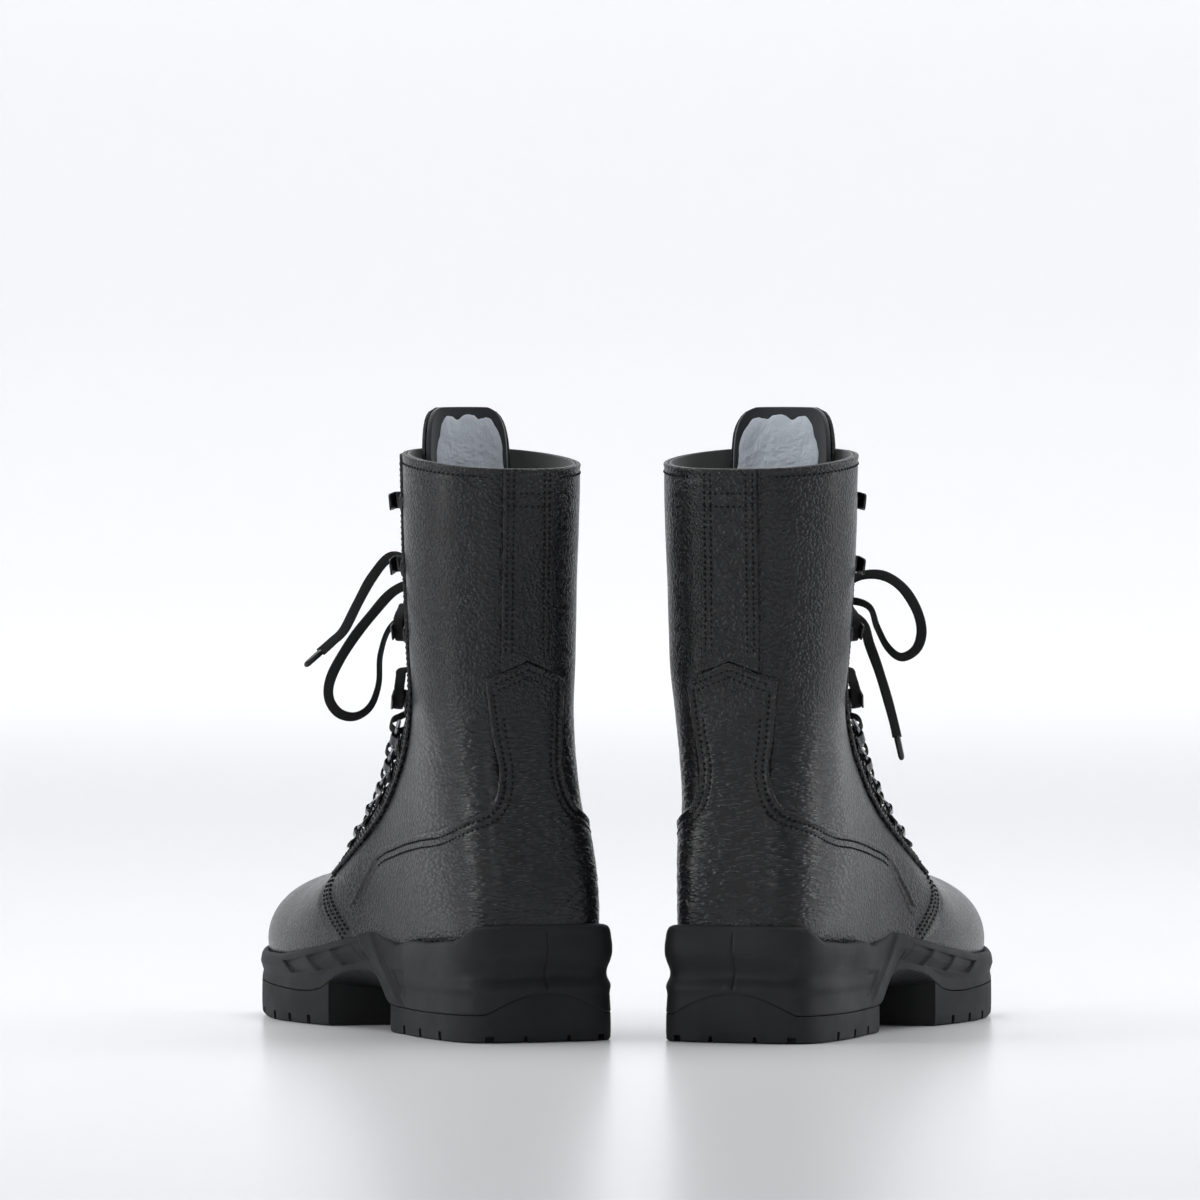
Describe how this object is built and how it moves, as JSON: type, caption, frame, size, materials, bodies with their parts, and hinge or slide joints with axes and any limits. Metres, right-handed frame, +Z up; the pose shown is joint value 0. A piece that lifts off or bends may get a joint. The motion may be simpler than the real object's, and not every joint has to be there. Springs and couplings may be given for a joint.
{
  "type": "pair of lace-up boots",
  "caption": "Pair of tall black leather lace-up boots with hinged lacing rings, speed hooks, folding tongue tops, tied flat laces and a cupped lugged sole.",
  "frame": {"origin": "floor under the middle of the pair's box, measured without the free lace ends", "axes": "+Z up, toes point towards +Y, the left boot is on the -X side, +X to the right seen from behind the heels"},
  "size_m": [0.3822, 0.2999, 0.3177],
  "materials": {
    "leather": "full-grain black leather, pebbled, satin",
    "vamp_leather": "full-grain black leather, smooth, satin",
    "tongue": "soft black leather, suede inside",
    "lining": "grey-green suede lining",
    "rubber": "matte black rubber",
    "foam": "matte black moulded polyurethane",
    "board": "pressed fibre board",
    "steel": "plain spring steel",
    "hardware": "black satin enamel on steel",
    "ring": "nickel-plated steel wire",
    "lace": "flat black woven polyester",
    "aglet": "smooth black plastic tip"
  },
  "bodies": {
    "left_tongue_leaf": {"left_tongue_leaf": "tongue"},
    "left_ring_outer_1": {"left_ring_outer_1": "ring"},
    "left_ring_outer_2": {"left_ring_outer_2": "ring"},
    "left_ring_outer_3": {"left_ring_outer_3": "ring"},
    "left_ring_outer_4": {"left_ring_outer_4": "ring"},
    "left_ring_outer_5": {"left_ring_outer_5": "ring"},
    "left_ring_inner_1": {"left_ring_inner_1": "ring"},
    "left_ring_inner_2": {"left_ring_inner_2": "ring"},
    "left_ring_inner_3": {"left_ring_inner_3": "ring"},
    "left_ring_inner_4": {"left_ring_inner_4": "ring"},
    "left_ring_inner_5": {"left_ring_inner_5": "ring"},
    "right_tongue_leaf": {"right_tongue_leaf": "tongue"},
    "right_ring_outer_1": {"right_ring_outer_1": "ring"},
    "right_ring_outer_2": {"right_ring_outer_2": "ring"},
    "right_ring_outer_3": {"right_ring_outer_3": "ring"},
    "right_ring_outer_4": {"right_ring_outer_4": "ring"},
    "right_ring_outer_5": {"right_ring_outer_5": "ring"},
    "right_ring_inner_1": {"right_ring_inner_1": "ring"},
    "right_ring_inner_2": {"right_ring_inner_2": "ring"},
    "right_ring_inner_3": {"right_ring_inner_3": "ring"},
    "right_ring_inner_4": {"right_ring_inner_4": "ring"},
    "right_ring_inner_5": {"right_ring_inner_5": "ring"},
    "left_boot": {"left_outsole": "rubber", "left_midsole": "foam", "left_shank": "steel", "left_insole_board": "board", "left_footbed": "lining", "left_vamp": "vamp_leather", "left_quarter_outer": "leather", "left_quarter_inner": "leather", "left_heel_counter": "leather", "left_backstay": "leather", "left_vamp_lining": "lining", "left_shaft_lining": "lining", "left_tongue": "tongue", "left_facing_outer": "hardware", "left_facing_inner": "hardware", "left_lace": "lace", "left_bow": "lace", "left_aglet_outer": "aglet", "left_aglet_inner": "aglet"},
    "right_boot": {"right_outsole": "rubber", "right_midsole": "foam", "right_shank": "steel", "right_insole_board": "board", "right_footbed": "lining", "right_vamp": "vamp_leather", "right_quarter_outer": "leather", "right_quarter_inner": "leather", "right_heel_counter": "leather", "right_backstay": "leather", "right_vamp_lining": "lining", "right_shaft_lining": "lining", "right_tongue": "tongue", "right_facing_outer": "hardware", "right_facing_inner": "hardware", "right_lace": "lace", "right_bow": "lace", "right_aglet_outer": "aglet", "right_aglet_inner": "aglet"}
  },
  "joints": [
    {"name": "right_boot_lift", "type": "slide", "parent": "left_boot", "child": "right_boot", "axis": [0, 0, 1], "range_m": [0, 0.3]},
    {"name": "left_tongue_fold", "type": "hinge", "parent": "left_boot", "child": "left_tongue_leaf", "pos_m": [-0.07697, -0.04915, 0.254], "axis": [0.9135, 0.4067, 0], "range_deg": [0, 25]},
    {"name": "left_ring_outer_1_swing", "type": "hinge", "parent": "left_boot", "child": "left_ring_outer_1", "pos_m": [-0.13814, 0.01977, 0.09885], "axis": [0.1149, -0.8971, 0.4266], "range_deg": [-6, 6]},
    {"name": "left_ring_outer_2_swing", "type": "hinge", "parent": "left_boot", "child": "left_ring_outer_2", "pos_m": [-0.1317, 0.00554, 0.11078], "axis": [0.0951, -0.9023, 0.4205], "range_deg": [-6, 6]},
    {"name": "left_ring_outer_3_swing", "type": "hinge", "parent": "left_boot", "child": "left_ring_outer_3", "pos_m": [-0.1261, -0.00608, 0.12259], "axis": [0.1261, -0.8921, 0.4339], "range_deg": [-6, 6]},
    {"name": "left_ring_outer_4_swing", "type": "hinge", "parent": "left_boot", "child": "left_ring_outer_4", "pos_m": [-0.12187, -0.01694, 0.13478], "axis": [0.1498, -0.8067, 0.5717], "range_deg": [-6, 6]},
    {"name": "left_ring_outer_5_swing", "type": "hinge", "parent": "left_boot", "child": "left_ring_outer_5", "pos_m": [-0.11831, -0.02796, 0.1486], "axis": [0.1831, -0.7045, 0.6857], "range_deg": [-6, 6]},
    {"name": "left_ring_inner_1_swing", "type": "hinge", "parent": "left_boot", "child": "left_ring_inner_1", "pos_m": [-0.09005, 0.04081, 0.09883], "axis": [-0.5919, 0.6954, -0.4075], "range_deg": [-6, 6]},
    {"name": "left_ring_inner_2_swing", "type": "hinge", "parent": "left_boot", "child": "left_ring_inner_2", "pos_m": [-0.08488, 0.02676, 0.11085], "axis": [-0.6048, 0.6636, -0.4402], "range_deg": [-6, 6]},
    {"name": "left_ring_inner_3_swing", "type": "hinge", "parent": "left_boot", "child": "left_ring_inner_3", "pos_m": [-0.08019, 0.01478, 0.12288], "axis": [-0.5662, 0.6906, -0.45], "range_deg": [-6, 6]},
    {"name": "left_ring_inner_4_swing", "type": "hinge", "parent": "left_boot", "child": "left_ring_inner_4", "pos_m": [-0.07599, 0.00391, 0.13522], "axis": [-0.4695, 0.6772, -0.5665], "range_deg": [-6, 6]},
    {"name": "left_ring_inner_5_swing", "type": "hinge", "parent": "left_boot", "child": "left_ring_inner_5", "pos_m": [-0.07137, -0.00677, 0.14929], "axis": [-0.364, 0.6415, -0.6753], "range_deg": [-6, 6]},
    {"name": "right_tongue_fold", "type": "hinge", "parent": "right_boot", "child": "right_tongue_leaf", "pos_m": [0.08492, -0.05531, 0.254], "axis": [0.9336, -0.3584, 0], "range_deg": [0, 25]},
    {"name": "right_ring_outer_1_swing", "type": "hinge", "parent": "right_boot", "child": "right_ring_outer_1", "pos_m": [0.14066, 0.0176, 0.09899], "axis": [-0.0888, -0.8985, 0.43], "range_deg": [-6, 6]},
    {"name": "right_ring_outer_2_swing", "type": "hinge", "parent": "right_boot", "child": "right_ring_outer_2", "pos_m": [0.1339, 0.00348, 0.11104], "axis": [-0.0744, -0.8992, 0.4313], "range_deg": [-6, 6]},
    {"name": "right_ring_outer_3_swing", "type": "hinge", "parent": "right_boot", "child": "right_ring_outer_3", "pos_m": [0.12758, -0.00745, 0.12304], "axis": [-0.1037, -0.8878, 0.4483], "range_deg": [-6, 6]},
    {"name": "right_ring_outer_4_swing", "type": "hinge", "parent": "right_boot", "child": "right_ring_outer_4", "pos_m": [0.12279, -0.01827, 0.1353], "axis": [-0.1454, -0.8075, 0.5716], "range_deg": [-6, 6]},
    {"name": "right_ring_outer_5_swing", "type": "hinge", "parent": "right_boot", "child": "right_ring_outer_5", "pos_m": [0.11854, -0.02905, 0.14937], "axis": [-0.1906, -0.7086, 0.6794], "range_deg": [-6, 6]},
    {"name": "right_ring_inner_1_swing", "type": "hinge", "parent": "right_boot", "child": "right_ring_inner_1", "pos_m": [0.09088, 0.03629, 0.09865], "axis": [0.5769, 0.7007, -0.4198], "range_deg": [-6, 6]},
    {"name": "right_ring_inner_2_swing", "type": "hinge", "parent": "right_boot", "child": "right_ring_inner_2", "pos_m": [0.08449, 0.02251, 0.11053], "axis": [0.6041, 0.6595, -0.4474], "range_deg": [-6, 6]},
    {"name": "right_ring_inner_3_swing", "type": "hinge", "parent": "right_boot", "child": "right_ring_inner_3", "pos_m": [0.07863, 0.01101, 0.12237], "axis": [0.5727, 0.6784, -0.4602], "range_deg": [-6, 6]},
    {"name": "right_ring_inner_4_swing", "type": "hinge", "parent": "right_boot", "child": "right_ring_inner_4", "pos_m": [0.07303, 0.00054, 0.13466], "axis": [0.4891, 0.6454, -0.5867], "range_deg": [-6, 6]},
    {"name": "right_ring_inner_5_swing", "type": "hinge", "parent": "right_boot", "child": "right_ring_inner_5", "pos_m": [0.06733, -0.00928, 0.14877], "axis": [0.394, 0.5972, -0.6986], "range_deg": [-6, 6]}
  ]
}
